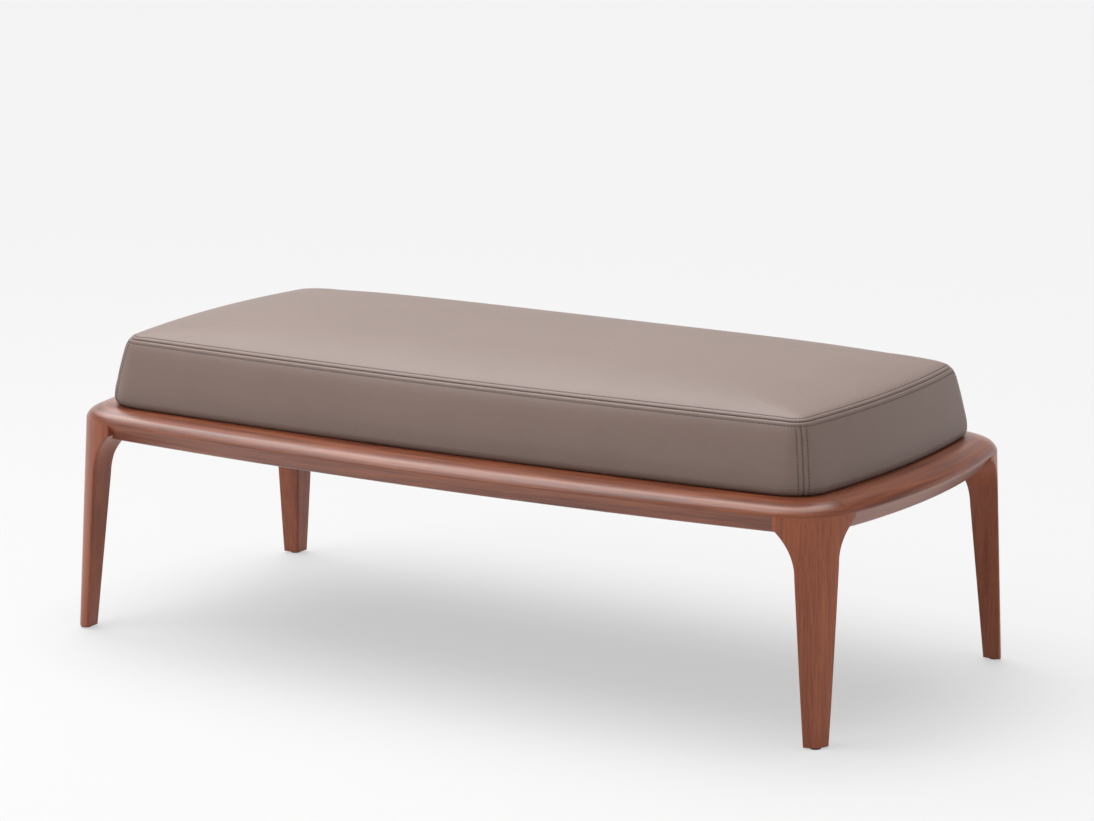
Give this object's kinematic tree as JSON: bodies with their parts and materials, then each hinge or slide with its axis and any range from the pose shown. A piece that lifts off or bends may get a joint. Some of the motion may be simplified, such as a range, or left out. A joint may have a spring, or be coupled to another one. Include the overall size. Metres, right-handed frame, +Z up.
{
  "type": "upholstered bench",
  "caption": "Rectangular bench with bowed sides: a padded leather seat with a domed top on a rounded wooden rim, on tapered legs that flare into the rim's corners.",
  "frame": {"origin": "on the floor, under the middle of the bench", "axes": "+X along the long side to the right, +Y to the back, +Z up; the front long side faces -Y"},
  "size_m": [1.22, 0.5898, 0.432],
  "materials": {
    "stained_wood": "satin reddish-brown stain",
    "raw_beech": "planed, unfinished",
    "beech_dowel": "fluted, unfinished",
    "plywood": "sanded, unfinished",
    "foam": "open-cell foam",
    "wadding": "bonded fibre",
    "leather": "smooth semi-matt taupe",
    "black_cloth": "matt non-woven",
    "steel": "zinc plated",
    "brass": "machined",
    "nylon": "dark moulded"
  },
  "bodies": {
    "root": {"front_rail": "stained_wood", "back_rail": "stained_wood", "left_rail": "stained_wood", "right_rail": "stained_wood", "rim_corner_front_left": "stained_wood", "rim_corner_front_right": "stained_wood", "rim_corner_back_left": "stained_wood", "rim_corner_back_right": "stained_wood", "leg_front_left": "stained_wood", "leg_front_right": "stained_wood", "leg_back_left": "stained_wood", "leg_back_right": "stained_wood", "corner_brace_front_left": "raw_beech", "corner_brace_front_right": "raw_beech", "corner_brace_back_left": "raw_beech", "corner_brace_back_right": "raw_beech", "cross_rail_left": "raw_beech", "cross_rail_right": "raw_beech", "rim_dowels": "beech_dowel", "cross_rail_dowels": "beech_dowel", "leg_dowels": "beech_dowel", "seat_board": "plywood", "foam_core": "foam", "wadding": "wadding", "cover_top": "leather", "cover_side_front": "leather", "cover_side_back": "leather", "cover_side_left": "leather", "cover_side_right": "leather", "dust_cover": "black_cloth", "leg_bolts": "steel", "leg_washers": "steel", "seat_screws": "steel", "leg_inserts": "brass", "foot_glide_front_left": "nylon", "foot_glide_front_right": "nylon", "foot_glide_back_left": "nylon", "foot_glide_back_right": "nylon"}
  },
  "joints": []
}
